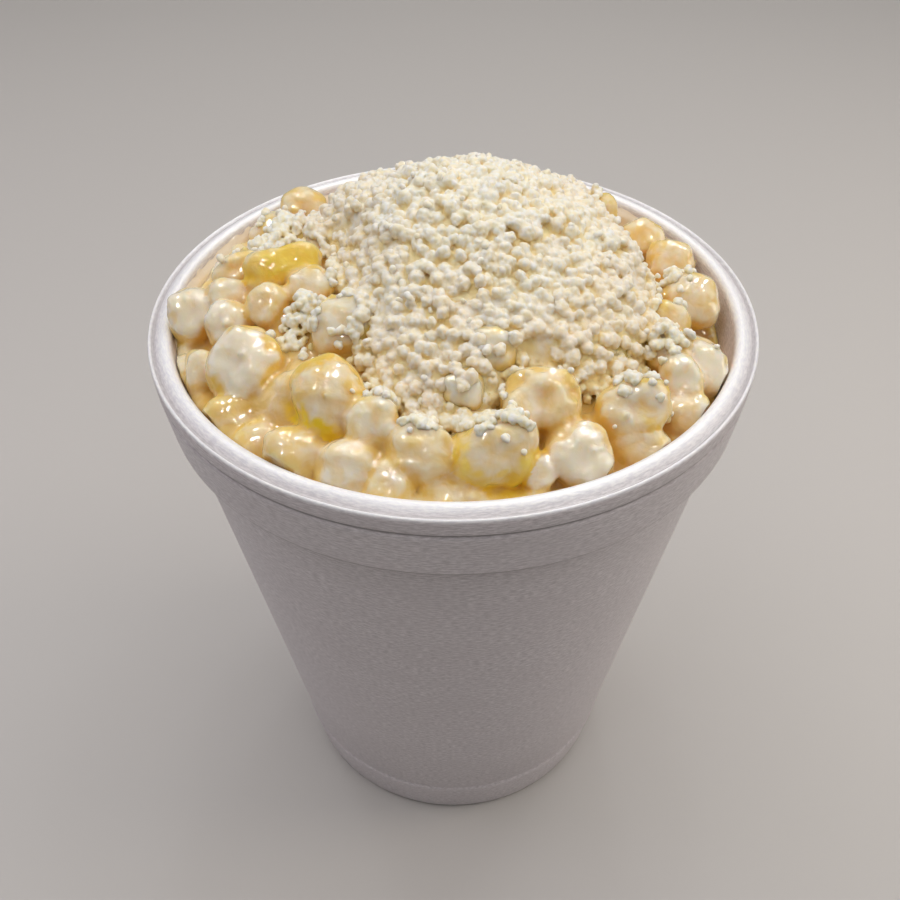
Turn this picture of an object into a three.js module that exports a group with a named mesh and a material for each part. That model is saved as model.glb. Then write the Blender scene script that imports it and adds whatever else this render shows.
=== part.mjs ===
// Esquites: a small foam cup, filled with creamed corn kernels and heaped with crumbled white cheese.
// Millimetres, +Z up. The origin is the centre of the ring that the cup stands on.
import * as THREE from "three";

// ---- driving dimensions of the cup ----
const LIP_RADIUS = 40; // outermost edge of the lip
const LIP_HEIGHT = 87.2; // that edge above the table
const MOUTH_RADIUS = 36.9; // inner wall at the height of the lip
const CROWN_HEIGHT = 0.3; // the crown of the rim above the lip's edge
const WALL_TAPER = 0.15; // radius lost for each millimetre down the wall
const WALL_TOP_RADIUS = 37.5; // outer wall where it leaves the band
const BAND_BOTTOM_RADIUS = 39; // the band stands proud of the wall there
const BAND_BOTTOM_HEIGHT = LIP_HEIGHT - 10.2;
const GROOVE_HEIGHT = LIP_HEIGHT - 2.8; // line between the lip and the band
const GROOVE_DEPTH = 0.3;
const HEEL_HEIGHT = 8.8; // the heel is the slightly thicker foot of the wall
const HEEL_STEP = 0.2;
const FOOT_OUTER_RADIUS = 24.9; // the ring that touches the table
const FOOT_INNER_RADIUS = 21.8;
const FOOT_ROUNDING = 1.2;
const BASE_RECESS = 1; // the underside inside the ring is this much higher
const FLOOR_HEIGHT = 3; // inside floor above the table
const FLOOR_FILLET = 2;
const CUP_SEGMENTS = 64;
const ARC_DIVISIONS = 2; // half the number of chords in each rounded corner

// ---- driving dimensions of the contents ----
const FIT_GAP = 0.4; // clearance between one solid and the next
const BEARINGS = 84; // steps round the cup's axis in the corn and the cheese
const CORN_PEAK = LIP_HEIGHT + 9; // top of the corn, under the cheese
const CORN_EDGE_HIGH = LIP_HEIGHT - 1; // corn level at the wall, on the full side
const CORN_EDGE_DROP = 4; // how much lower it is on the slack side
const SLACK_BEARING = THREE.MathUtils.degToRad(45);
const HEAP_POWER = 1.7; // the corn is domed in the middle and steeper at the wall
const POCKET_FLOOR = LIP_HEIGHT - 9; // a gap between the kernels and the wall
const POCKET_BEARING = THREE.MathUtils.degToRad(-8.6);
const POCKET_HALF_ANGLE = THREE.MathUtils.degToRad(4.8);
const POCKET_BLEND = THREE.MathUtils.degToRad(3.4);
const POCKET_INNER_RADIUS = 30.5;
const POCKET_WALL = 1.5; // the pocket's side slopes over this much radius
const CORN_PLAIN_RADIUS = 12; // the cheese hides the corn inside this radius
const CORN_PLAIN_RINGS = 3;
const CORN_RINGS = 15; // outside it

const MOUND_PEAK = LIP_HEIGHT + 17.9;
const MOUND_CENTRE = new THREE.Vector2(1.5, 2);
const MOUND_SLOPE = 0.6; // rise over run of the flanks
const MOUND_TIP_RADIUS = 8; // how far from the peak the cone is rounded off
const MOUND_REACH = 30.5; // how far the cheese spreads from the cup's axis
const BARE_DEPTH = 15; // how much less it spreads on the side left bare
const BARE_BEARING = THREE.MathUtils.degToRad(-158);
const BARE_WIDTH = THREE.MathUtils.degToRad(46);
const CHEESE_EDGE_THICKNESS = 1.6;
const CHEESE_EDGE_RUN = 6; // the mound thins to that over this much radius
const CLUMPS = 64; // rounded clumps on the mound
const CLUMP_SPREAD = 3.9; // sets how far the outermost ones are from the peak
const CLUMP_HALF_WIDTH = 4;
const CLUMP_RISE = 1.4;
const CHEESE_RINGS = 12;
const CHEESE_UNDERSIDE_RINGS = 6;

// Kernels that show round the mound: x, y, half width, and how far each crown stands above the corn's level.
const KERNELS = [
  // on the left, from the back to the front
  [-22.6, 25.4, 3.6, 2.4],
  [-29, 18.6, 3.8, 2.2],
  [-32, 10.6, 4, 2.2],
  [-28.6, 3.4, 3.4, 2.4],
  [-34, -4.6, 3.4, 3],
  [-28.4, -6.4, 3.8, 2.6],
  [-21.8, -1.4, 4.2, 2.8],
  [-23, -8, 3, 2.4],
  [-31, -14.6, 3.2, 2],
  [-25, -17, 4.3, 3],
  [-27, -22.2, 3.4, 1],
  // along the front, from left to right
  [-14, -24, 4.5, 3],
  [-17.6, -29, 3.4, 1.8],
  [-9.2, -27.4, 3, 2.2],
  [-11.8, -31.4, 3, 1.8],
  [-3.5, -30.8, 3.6, 2.4],
  [4.6, -30.6, 4.8, 2.8],
  [14, -30, 3.8, 2.4],
  // on the right, from the front to the back
  [20.8, -23.6, 4.4, 2.6],
  [22, -28, 3.2, 1],
  [30.2, -14.4, 4.3, 2.6],
  [32.2, 2, 3.8, 2.4],
  [31, 12, 3.8, 2.2],
  [26.6, 20.4, 3.6, 2],
  // across the back
  [18.4, 28.4, 3.8, 2],
  [8.6, 32.4, 3.8, 2],
  [-2, 33.4, 3.8, 2],
  [-12.6, 31.2, 3.8, 2],
];

// Radius of the cup's inner wall at a height.
const innerRadius = (height) => MOUTH_RADIUS + WALL_TAPER * (height - LIP_HEIGHT);

// Radius of the cup's outer wall at a height below the band.
const outerRadius = (height) => WALL_TOP_RADIUS + WALL_TAPER * (height - BAND_BOTTOM_HEIGHT);

// Signed angle from one bearing to another, between minus and plus half a turn.
const turnBetween = (from, to) => Math.atan2(Math.sin(to - from), Math.cos(to - from));

const bell = (offset, width) => Math.exp(-((offset / width) ** 2));

function finish(color, roughness) {
  return new THREE.MeshStandardMaterial({ color, roughness, metalness: 0 });
}

function named(name, geometry, material) {
  const mesh = new THREE.Mesh(geometry, material);
  mesh.name = name;
  return mesh;
}

// ---- foam cup ----

// Half section of the cup, from the axis under the base, up the outside, over the rim and down the inside.
function cupSection() {
  const section = new THREE.Path();
  section.moveTo(0, BASE_RECESS);
  section.lineTo(FOOT_INNER_RADIUS - BASE_RECESS, BASE_RECESS);
  section.lineTo(FOOT_INNER_RADIUS, 0);
  section.lineTo(FOOT_OUTER_RADIUS, 0);
  section.absarc(FOOT_OUTER_RADIUS, FOOT_ROUNDING, FOOT_ROUNDING, -Math.PI / 2, 0);
  section.lineTo(outerRadius(HEEL_HEIGHT - HEEL_STEP), HEEL_HEIGHT - HEEL_STEP);
  section.lineTo(outerRadius(HEEL_HEIGHT) - HEEL_STEP, HEEL_HEIGHT);
  section.lineTo(WALL_TOP_RADIUS, BAND_BOTTOM_HEIGHT);
  addBandAndRim(section);
  section.lineTo(innerRadius(FLOOR_HEIGHT + FLOOR_FILLET), FLOOR_HEIGHT + FLOOR_FILLET);
  section.lineTo(innerRadius(FLOOR_HEIGHT) - FLOOR_FILLET, FLOOR_HEIGHT);
  section.lineTo(0, FLOOR_HEIGHT);
  return section;
}

// The band under the lip, the line between them, and the rounded rim.
function addBandAndRim(section) {
  const bandRounding = 0.5;
  const lipRounding = 0.4;
  const rimRounding = 1.2;
  const bandTopRadius = LIP_RADIUS - 0.1;
  const crown = LIP_HEIGHT + CROWN_HEIGHT;
  section.lineTo(BAND_BOTTOM_RADIUS - bandRounding, BAND_BOTTOM_HEIGHT);
  section.lineTo(BAND_BOTTOM_RADIUS, BAND_BOTTOM_HEIGHT + bandRounding);
  section.lineTo(bandTopRadius, GROOVE_HEIGHT - GROOVE_DEPTH);
  section.lineTo(bandTopRadius - GROOVE_DEPTH, GROOVE_HEIGHT);
  section.lineTo(LIP_RADIUS, GROOVE_HEIGHT + GROOVE_DEPTH);
  section.absarc(LIP_RADIUS - lipRounding, LIP_HEIGHT - lipRounding, lipRounding, 0, Math.PI / 2);
  section.lineTo(MOUTH_RADIUS + 2 * rimRounding, crown);
  section.absarc(MOUTH_RADIUS + rimRounding, crown - rimRounding, rimRounding, Math.PI / 2, Math.PI);
}

function makeCup() {
  const geometry = new THREE.LatheGeometry(cupSection().getPoints(ARC_DIVISIONS), CUP_SEGMENTS);
  geometry.rotateX(Math.PI / 2);
  return named("cup", geometry, finish(0xe9e6ea, 0.75));
}

// ---- contents ----

// Spin a half section round the cup's axis, then move each point to its radius and height at its bearing.
function spinAndPlace(section, place) {
  const geometry = new THREE.LatheGeometry(section, BEARINGS);
  geometry.rotateX(Math.PI / 2);
  const points = geometry.getAttribute("position");
  const point = new THREE.Vector3();
  for (let i = 0; i < points.count; i += 1) {
    point.fromBufferAttribute(points, i);
    const bearing = Math.atan2(point.y, point.x);
    const [radius, height] = place(Math.hypot(point.x, point.y), point.z, bearing);
    points.setXYZ(i, radius * Math.cos(bearing), radius * Math.sin(bearing), height);
  }
  geometry.computeVertexNormals();
  return geometry;
}

// How far the cheese reaches from the cup's axis at a bearing. One side of the corn is left bare.
function cheeseReach(bearing) {
  const bare = BARE_DEPTH * bell(turnBetween(BARE_BEARING, bearing), BARE_WIDTH);
  const ragged = 0.9 * Math.sin(5 * bearing + 1) + 0.7 * Math.sin(9 * bearing);
  return Math.min(MOUND_REACH - bare + ragged, POCKET_INNER_RADIUS - 2 * pocketSpan(bearing));
}

// Corn level at the wall: lowest at the slack bearing.
function cornEdge(bearing) {
  const slack = (1 + Math.cos(turnBetween(SLACK_BEARING, bearing))) / 2;
  return CORN_EDGE_HIGH - CORN_EDGE_DROP * slack;
}

// Share of the pocket at a bearing: 1 over its width, 0 beyond its ends.
function pocketSpan(bearing) {
  const off = Math.abs(turnBetween(POCKET_BEARING, bearing));
  return 1 - THREE.MathUtils.smoothstep(off, POCKET_HALF_ANGLE, POCKET_HALF_ANGLE + POCKET_BLEND);
}

// Share of the pocket at a point: 1 on its floor, 0 outside it.
function pocketShare(radius, bearing) {
  const brink = POCKET_INNER_RADIUS - POCKET_WALL;
  return pocketSpan(bearing) * THREE.MathUtils.smoothstep(radius, brink, POCKET_INNER_RADIUS);
}

// Smooth level of the heaped corn, without its kernels.
function cornLevel(radius, bearing) {
  const share = (radius / MOUTH_RADIUS) ** HEAP_POWER;
  const level = CORN_PEAK - (CORN_PEAK - cornEdge(bearing)) * share;
  return THREE.MathUtils.lerp(level, POCKET_FLOOR, pocketShare(radius, bearing));
}

// Top of the corn with its kernels. Under the cheese, and in the pocket, it stays smooth.
function cornTop(radius, bearing) {
  let highest = 0;
  for (const [x, y, halfWidth, rise] of KERNELS) {
    const off = Math.hypot(radius * Math.cos(bearing) - x, radius * Math.sin(bearing) - y) / halfWidth;
    highest = Math.max(highest, rise * (1 - off * off));
  }
  const reach = cheeseReach(bearing);
  const bare = THREE.MathUtils.smoothstep(radius, reach + 1.7, reach + 3.2);
  return cornLevel(radius, bearing) + highest * bare * (1 - pocketShare(radius, bearing));
}

// Half section of the corn: a flat top as wide as the mouth, the side, the fillet and the bottom.
function cornSection() {
  const bottom = FLOOR_HEIGHT + FIT_GAP;
  const filletTop = bottom + FLOOR_FILLET;
  const section = [];
  for (let i = 0; i < CORN_PLAIN_RINGS; i += 1) {
    section.push(new THREE.Vector2((CORN_PLAIN_RADIUS * i) / CORN_PLAIN_RINGS, LIP_HEIGHT));
  }
  for (let i = 0; i <= CORN_RINGS; i += 1) {
    const radius = THREE.MathUtils.lerp(CORN_PLAIN_RADIUS, MOUTH_RADIUS, i / CORN_RINGS);
    section.push(new THREE.Vector2(radius, LIP_HEIGHT));
  }
  section.push(new THREE.Vector2(innerRadius(filletTop) - FIT_GAP, filletTop));
  section.push(new THREE.Vector2(innerRadius(bottom) - FLOOR_FILLET - FIT_GAP, bottom));
  section.push(new THREE.Vector2(0, bottom));
  return section.reverse();
}

// The flat top is heaped up and drawn in to the wall. The rest of the section stays as it is.
function placeCorn(radius, height, bearing) {
  if (height < LIP_HEIGHT - FLOOR_FILLET) return [radius, height];
  if (radius <= CORN_PLAIN_RADIUS) return [radius, cornTop(radius, bearing)];
  const edgeHeight = cornLevel(MOUTH_RADIUS, bearing);
  const edgeRadius = innerRadius(edgeHeight) - FIT_GAP;
  const share = THREE.MathUtils.inverseLerp(CORN_PLAIN_RADIUS, MOUTH_RADIUS, radius);
  if (share > 0.999) return [edgeRadius, edgeHeight];
  const drawnIn = THREE.MathUtils.lerp(CORN_PLAIN_RADIUS, edgeRadius, share);
  return [drawnIn, cornTop(drawnIn, bearing)];
}

function makeCorn() {
  return named("corn", spinAndPlace(cornSection(), placeCorn), finish(0xe8d9a4, 0.3));
}

// Middles of the clumps, wound outwards from the mound's peak so that they lie evenly.
const CLUMP_MIDDLES = Array.from({ length: CLUMPS }, (_, k) => {
  const bearing = k * Math.PI * (3 - Math.sqrt(5));
  const spread = new THREE.Vector2(Math.cos(bearing), Math.sin(bearing));
  return spread.multiplyScalar(CLUMP_SPREAD * Math.sqrt(k)).add(MOUND_CENTRE);
});

// Top of the crumbled cheese: a cone with a rounded tip and clumps.
function cheeseTop(radius, bearing) {
  const here = new THREE.Vector2(radius * Math.cos(bearing), radius * Math.sin(bearing));
  const run = Math.hypot(here.distanceTo(MOUND_CENTRE), MOUND_TIP_RADIUS) - MOUND_TIP_RADIUS;
  let clump = 0;
  CLUMP_MIDDLES.forEach((middle, k) => {
    const off = here.distanceTo(middle) / CLUMP_HALF_WIDTH;
    clump = Math.max(clump, CLUMP_RISE * (1 - off * off) * (0.75 + 0.25 * Math.sin(5 * k)));
  });
  return MOUND_PEAK - CLUMP_RISE - MOUND_SLOPE * run + clump;
}

// Half section of the cheese: a flat underside and a flat top, placed by placeCheese.
function cheeseSection() {
  const section = [];
  for (let i = 0; i <= CHEESE_UNDERSIDE_RINGS; i += 1) {
    section.push(new THREE.Vector2((MOUND_REACH * i) / CHEESE_UNDERSIDE_RINGS, CORN_PEAK));
  }
  for (let i = CHEESE_RINGS; i >= 0; i -= 1) {
    section.push(new THREE.Vector2((MOUND_REACH * i) / CHEESE_RINGS, MOUND_PEAK));
  }
  return section;
}

// The underside lies on the corn. The top is the mound, thinned towards its edge.
function placeCheese(radius, height, bearing) {
  const reach = cheeseReach(bearing);
  const placed = (radius * reach) / MOUND_REACH;
  const underside = cornLevel(placed, bearing) + FIT_GAP;
  if (height < (CORN_PEAK + MOUND_PEAK) / 2) return [placed, underside];
  const thinnest = underside + CHEESE_EDGE_THICKNESS;
  const share = THREE.MathUtils.smoothstep(reach - placed, 0, CHEESE_EDGE_RUN);
  const mound = THREE.MathUtils.lerp(thinnest, cheeseTop(placed, bearing), share);
  return [placed, Math.max(mound, thinnest)];
}

function makeCheese() {
  return named("cheese", spinAndPlace(cheeseSection(), placeCheese), finish(0xf4ecd6, 0.8));
}

const esquites = new THREE.Group();
esquites.add(makeCup(), makeCorn(), makeCheese());

export default esquites;
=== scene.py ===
"""Esquites: a foam cup full of creamed sweetcorn, heaped with crumbled fresh cheese.

Lengths here are millimetres and heights are above the cup's lip, unless a name or a comment says otherwise.
Meshes are turned into metres, with heights above the table, as they are made.
"""

import math

import bmesh
import bpy
import numpy as np
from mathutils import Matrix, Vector
from mathutils.bvhtree import BVHTree
from mathutils.kdtree import KDTree


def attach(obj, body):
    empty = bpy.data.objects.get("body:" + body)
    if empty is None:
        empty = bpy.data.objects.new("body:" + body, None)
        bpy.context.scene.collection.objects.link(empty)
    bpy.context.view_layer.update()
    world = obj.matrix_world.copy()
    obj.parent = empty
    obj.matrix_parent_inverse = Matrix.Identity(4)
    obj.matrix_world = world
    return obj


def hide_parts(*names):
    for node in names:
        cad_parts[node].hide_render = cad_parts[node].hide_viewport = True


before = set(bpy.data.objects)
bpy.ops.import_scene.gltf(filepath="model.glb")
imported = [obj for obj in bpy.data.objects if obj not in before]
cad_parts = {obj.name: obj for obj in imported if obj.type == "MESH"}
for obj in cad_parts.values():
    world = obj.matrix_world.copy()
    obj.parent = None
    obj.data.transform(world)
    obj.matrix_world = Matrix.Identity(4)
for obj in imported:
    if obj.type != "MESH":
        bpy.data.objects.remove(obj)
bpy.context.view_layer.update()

MM = 0.001
LIP = 87.2  # the lip's edge above the table
MOUTH = 36.9  # radius of the mouth at the lip
TAPER = 0.15  # radius lost for each millimetre down the wall
BAND = -10.2  # the foot of the band under the lip
GROOVE = -2.75  # the pressed line between the lip and the band
GUTTER = 39.3  # radius of the gutter behind the lip's ridge
MOST_TRIANGLES = 199000  # in one piece


# ---- small helpers ----


def smoothstep(x, low, high):
    t = np.clip((x - low) / (high - low), 0, 1)
    return t * t * (3 - 2 * t)


def turn_between(start, end):
    """Signed angle from one bearing to another, within half a turn."""
    return np.arctan2(np.sin(end - start), np.cos(end - start))


def out_at(bearing, radius):
    return radius * math.cos(bearing), radius * math.sin(bearing)


def ripple(points, size, seed, waves=14):
    """Smooth unevenness between about -1 and 1, with lumps of the given size."""
    rng = np.random.default_rng(seed)
    directions = rng.normal(size=(waves, 3))
    directions /= np.linalg.norm(directions, axis=1, keepdims=True)
    pitches = 2 * math.pi / (size * rng.uniform(1.3, 2.8, waves))
    phases = rng.uniform(0, 2 * math.pi, waves)
    total = np.zeros(len(points))
    for direction, pitch, phase in zip(directions, pitches, phases):
        total += np.sin(points @ direction * pitch + phase)
    return total / math.sqrt(waves / 2) * 0.7


def linked_object(name, data):
    made = bpy.data.objects.new(name, data)
    bpy.context.scene.collection.objects.link(made)
    return made


def make_mesh(name, points, faces):
    """A mesh object. The points are in millimetres above the table."""
    mesh = bpy.data.meshes.new(name)
    mesh.from_pydata((np.asarray(points) * MM).tolist(), [], [list(map(int, face)) for face in faces])
    mesh.validate()
    mesh.shade_smooth()
    return linked_object(name, mesh)


def throw_away(piece):
    """Removes an object, and its mesh if nothing else has it."""
    mesh = piece.data
    bpy.data.objects.remove(piece)
    if mesh.users == 0:
        bpy.data.meshes.remove(mesh)


def baked_mesh(source, name):
    """The plain mesh that an object's modifiers make, as a new object. The source is thrown away."""
    bpy.context.view_layer.update()
    graph = bpy.context.evaluated_depsgraph_get()
    mesh = bpy.data.meshes.new_from_object(source.evaluated_get(graph))
    mesh.name = name
    throw_away(source)
    return linked_object(name, mesh)


def points_of(mesh):
    """A mesh's points in millimetres above the table."""
    flat = np.empty(len(mesh.vertices) * 3)
    mesh.vertices.foreach_get("co", flat)
    return flat.reshape(-1, 3) / MM


def normals_of(mesh):
    flat = np.empty(len(mesh.vertices) * 3)
    mesh.vertices.foreach_get("normal", flat)
    return flat.reshape(-1, 3)


def move_points(mesh, points):
    mesh.vertices.foreach_set("co", (points * MM).ravel())
    mesh.update()


def write_mask(mesh, name, values):
    """Stores one number for each point, which the materials read by name. One number may stand for all."""
    layer = mesh.attributes.new(name, "FLOAT", "POINT")
    everywhere = np.broadcast_to(values, len(mesh.vertices))
    layer.data.foreach_set("value", np.clip(everywhere, 0, 1).astype(np.float32))


def read_mask(mesh, name):
    values = np.empty(len(mesh.vertices), dtype=np.float32)
    mesh.attributes[name].data.foreach_get("value", values)
    return values


def ball_template(subdivisions):
    ball = bmesh.new()
    bmesh.ops.create_icosphere(ball, subdivisions=subdivisions, radius=1)
    ball.verts.ensure_lookup_table()
    points = np.array([v.co[:] for v in ball.verts])
    faces = np.array([[v.index for v in f.verts] for f in ball.faces])
    ball.free()
    return points, faces


def ring_shape(bearings, top, column, bottom):
    """A closed shape round the cup's axis. The column gives its places at a bearing, from the top down."""
    points = [(0, 0, top + LIP)]
    for k in range(bearings):
        places = column(2 * math.pi * k / bearings)
        points += [(x, y, height + LIP) for x, y, height in places]
    points.append((0, 0, bottom + LIP))
    count, last = len(places), len(points) - 1
    at = lambda k, i: 1 + (k % bearings) * count + i
    faces = []
    for k in range(bearings):
        faces.append((0, at(k, 0), at(k + 1, 0)))
        faces.append((last, at(k + 1, count - 1), at(k, count - 1)))
        for i in range(count - 1):
            faces.append((at(k, i), at(k, i + 1), at(k + 1, i + 1)))
            faces.append((at(k, i), at(k + 1, i + 1), at(k + 1, i)))
    return np.array(points), np.array(faces)


def melted(name, parts, grain):
    """Closed shapes, each its points and faces, run together into one skin and softened once."""
    counts = np.cumsum([0] + [len(points) for points, _ in parts[:-1]])
    points = np.vstack([points for points, _ in parts])
    faces = np.vstack([faces + count for (_, faces), count in zip(parts, counts)])
    source = make_mesh(name + "_source", points, faces)
    remesh = source.modifiers.new("melt", "REMESH")
    remesh.mode = "VOXEL"
    remesh.voxel_size = grain * MM
    remesh.use_smooth_shade = True
    soften = source.modifiers.new("soften", "SMOOTH")
    soften.factor = 0.5
    soften.iterations = 1
    return baked_mesh(source, name)


def fill_creases(mesh, rounds):
    """Lets cream run into the creases: a point moves out halfway to its neighbours' middle, never in."""
    ends = np.empty(len(mesh.edges) * 2, dtype=np.int32)
    mesh.edges.foreach_get("vertices", ends)
    first, second = ends[0::2], ends[1::2]
    count = len(mesh.vertices)
    near = np.bincount(first, minlength=count) + np.bincount(second, minlength=count)
    for turn in range(rounds):
        points = points_of(mesh)
        if turn % 4 == 0:
            normals = normals_of(mesh)
        middle = np.empty_like(points)
        for axis in range(3):
            total = np.bincount(first, points[second, axis], count)
            total += np.bincount(second, points[first, axis], count)
            middle[:, axis] = total / near
        out = np.maximum(0, ((middle - points) * normals).sum(axis=1))
        move_points(mesh, points + normals * (0.5 * out)[:, None])


def merge_flats(mesh):
    """Joins faces that lie in one plane, where a part is flat and hidden."""
    body = bmesh.new()
    body.from_mesh(mesh)
    bmesh.ops.dissolve_limit(body, angle_limit=0.01, verts=body.verts, edges=body.edges)
    bmesh.ops.triangulate(body, faces=[face for face in body.faces if len(face.verts) > 4])
    body.to_mesh(mesh)
    body.free()


def cut_flat(mesh, height):
    """Cuts a piece flat at this height, below which nothing shows, and closes it."""
    body = bmesh.new()
    body.from_mesh(mesh)
    everything = body.verts[:] + body.edges[:] + body.faces[:]
    low = (0, 0, (LIP + height) * MM)
    bmesh.ops.bisect_plane(body, geom=everything, plane_co=low, plane_no=(0, 0, -1), clear_outer=True)
    rims = [edge for edge in body.edges if edge.is_boundary]
    filled = bmesh.ops.holes_fill(body, edges=rims, sides=0)
    bmesh.ops.triangulate(body, faces=filled["faces"])
    body.to_mesh(mesh)
    body.free()
    mesh.shade_smooth()


def thinned(piece):
    """The piece with no more than the most triangles. Flatter places lose them first."""
    triangles = sum(len(face.vertices) - 2 for face in piece.data.polygons)
    if triangles <= MOST_TRIANGLES:
        return piece
    decimate = piece.modifiers.new("thin", "DECIMATE")
    decimate.ratio = MOST_TRIANGLES / triangles
    return baked_mesh(piece, piece.name)


class HeightMap:
    """Heights above the table, seen from above on square cells."""

    CELL = 0.3
    HALF = 39.0

    def __init__(self, meshes):
        self.count = int(2 * self.HALF / self.CELL)
        top = np.full((self.count, self.count), -np.inf)
        for mesh in meshes:
            points = points_of(mesh)
            np.maximum.at(top, self.cells(points), points[:, 2])
        for _ in range(4):
            grown = top.copy()
            for axis in (0, 1):
                for step in (-1, 1):
                    grown = np.maximum(grown, np.roll(top, step, axis))
            top = np.where(np.isinf(top), grown, top)
        self.top = np.where(np.isinf(top), LIP, top)

    def cells(self, points):
        index = ((points[:, :2] + self.HALF) / self.CELL).astype(int).clip(0, self.count - 1)
        return index[:, 0], index[:, 1]

    def softened(self, reach):
        """The map blurred over this reach."""
        widest = int(3 * reach / self.CELL)
        weights = np.exp(-((np.arange(-widest, widest + 1) * self.CELL / reach) ** 2) / 2)
        weights /= weights.sum()
        soft = self.top
        for axis in (0, 1):
            soft = np.apply_along_axis(lambda row: np.convolve(row, weights, mode="same"), axis, soft)
        return soft

    def depth_below(self, points, soft):
        """How far each point lies under a blurred map."""
        return soft[self.cells(points)] - points[:, 2]


def spaced_out(points, gap, rng):
    """Some of the points, none closer to another than the gap."""
    kept = []
    taken = {}
    steps = [(i, j, k) for i in (-1, 0, 1) for j in (-1, 0, 1) for k in (-1, 0, 1)]
    for index in rng.permutation(len(points)):
        point = points[index]
        cell = tuple((point // gap).astype(int))
        near = (taken.get((cell[0] + i, cell[1] + j, cell[2] + k), ()) for i, j, k in steps)
        if not any(((points[other] - point) ** 2).sum() < gap**2 for others in near for other in others):
            taken.setdefault(cell, []).append(index)
            kept.append(index)
    return points[kept]


# ---- shape of the heap ----

CORN_PEAK = 9.0
MOUND_PEAK = 18.0
MOUND_X = 1.5
MOUND_Y = 2.0
MOUND_SLOPE = 0.6
MOUND_TIP = 8.0


def inner_radius(height):
    return MOUTH + TAPER * height


def outer_radius(height):
    """The wall below the band."""
    return 37.5 + TAPER * (height - BAND)


def corn_level(x, y):
    """Smooth level of the heaped corn: high in the middle, and lowest at the wall on the far right."""
    radius = np.hypot(x, y)
    slack = (1 + np.cos(turn_between(math.radians(45), np.arctan2(y, x)))) / 2
    edge = -1 - 4 * slack
    return CORN_PEAK - (CORN_PEAK - edge) * (radius / MOUTH) ** 1.7


def mound_top(x, y):
    """Smooth top of the cheese: a cone with a rounded tip."""
    off = np.hypot(x - MOUND_X, y - MOUND_Y)
    return MOUND_PEAK - MOUND_SLOPE * (np.hypot(off, MOUND_TIP) - MOUND_TIP)


# The edge of the cheese: bearing in degrees, and how far from the cup's axis.
CHEESE_EDGE = [
    (-180, 16.4), (-160, 16.4), (-142, 17.2), (-128, 20.5), (-116, 23.4), (-108, 26.0), (-99, 28.6),
    (-86, 28.3), (-80, 26.3), (-72, 23.2), (-62, 23.0), (-54, 27.0), (-40, 28.6), (-24, 29.6), (-15, 26.8),
    (0, 27.6), (12, 27.0), (22, 26.0), (38, 26.4), (46, 31.0), (54, 33.0), (62, 31.5), (75, 31.5),
    (100, 32.0), (122, 31.0), (140, 28.5), (154, 25.0), (165, 19.5), (174, 16.4),
]


def cheese_reach(bearing):
    """How far the cheese spreads from the cup's axis. One side of the corn is left bare."""
    bearings, reaches = zip(*CHEESE_EDGE)
    return np.interp(np.degrees(bearing), bearings, reaches, period=360)


def inside_cheese(x, y):
    """How far inside the edge of the cheese a spot lies."""
    return cheese_reach(np.arctan2(y, x)) - np.hypot(x, y)


# ---- the cup ----

CUP_SEGMENTS = 224


def cup_section():
    """Half section: radius and height. From under the base, up the outside and down the inside."""
    foot = -LIP
    heel = foot + 9
    base = (
        (0, 1), (20.6, 1), (21.2, 0.85), (21.7, 0.25), (22.2, 0), (24.5, 0), (25.2, 0.12), (25.75, 0.45),
        (26.1, 1),
    )
    outside = (
        (foot + 2, 0.1), (heel - 0.9, 0.22), (heel - 0.3, 0.18), (heel, -0.08), (heel + 0.4, 0), (-60, 0),
        (-40, 0), (-22, 0), (BAND - 1.75, 0), (BAND - 1.45, 0), (BAND - 0.8, 0), (BAND - 0.25, 0),
    )
    band = (
        (37.7, -0.02), (38.35, 0.02), (38.8, 0.12), (39.0, 0.4), (39.06, 0.62), (39.14, 1.2), (39.5, 4),
    )
    groove = [(39.82, -3.5), (39.86, -3.15), (39.72, -2.92), (39.6, GROOVE), (39.74, -2.58), (39.92, -2.3)]
    ridge = [(39.97, -1.6), (40, -0.7), (39.99, -0.4), (39.92, -0.2), (39.78, -0.1)]
    gutter = [(39.64, -0.14), (39.46, -0.4), (39.2, -0.4), (38.85, -0.12)]
    crown = [(38.35, 0.18), (38.0, 0.29), (37.7, 0.3), (37.4, 0.2), (37.15, 0), (36.98, -0.35), (36.86, -0.9)]
    inside = (
        (-3, 0), (-10, 0), (-25, 0), (-50, 0), (foot + 7, 0), (foot + 4.4, 0.3), (foot + 3, 1.6),
    )
    return [
        *((radius, foot + rise) for radius, rise in base),
        *((outer_radius(height) + proud, height) for height, proud in outside),
        *((radius, BAND + rise) for radius, rise in band),
        *groove,
        *ridge,
        *gutter,
        *crown,
        *((inner_radius(height) - inward, height) for height, inward in inside),
        (0, foot + 3),
    ]


def wrap_cup(mesh, section):
    """The cup's own map in metres: across is once round, a quarter long, and up is along the section."""
    lengths = np.concatenate([[0], np.cumsum(np.hypot(*np.diff(section, axis=0).T))]) * MM
    count = len(section) - 2
    wrap = mesh.uv_layers.new(name="wrap")
    for face in mesh.polygons:
        last_strip = (max(face.vertices) - 2) // count == CUP_SEGMENTS - 1
        for loop in face.loop_indices:
            vertex = mesh.loops[loop].vertex_index
            if vertex < 2:
                wrap.data[loop].uv = (0, lengths[0] if vertex == 0 else lengths[-1])
                continue
            own, row = divmod(vertex - 2, count)
            around = 1.0 if last_strip and own == 0 else own / CUP_SEGMENTS
            wrap.data[loop].uv = (around * 0.25, lengths[row + 1])


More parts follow.
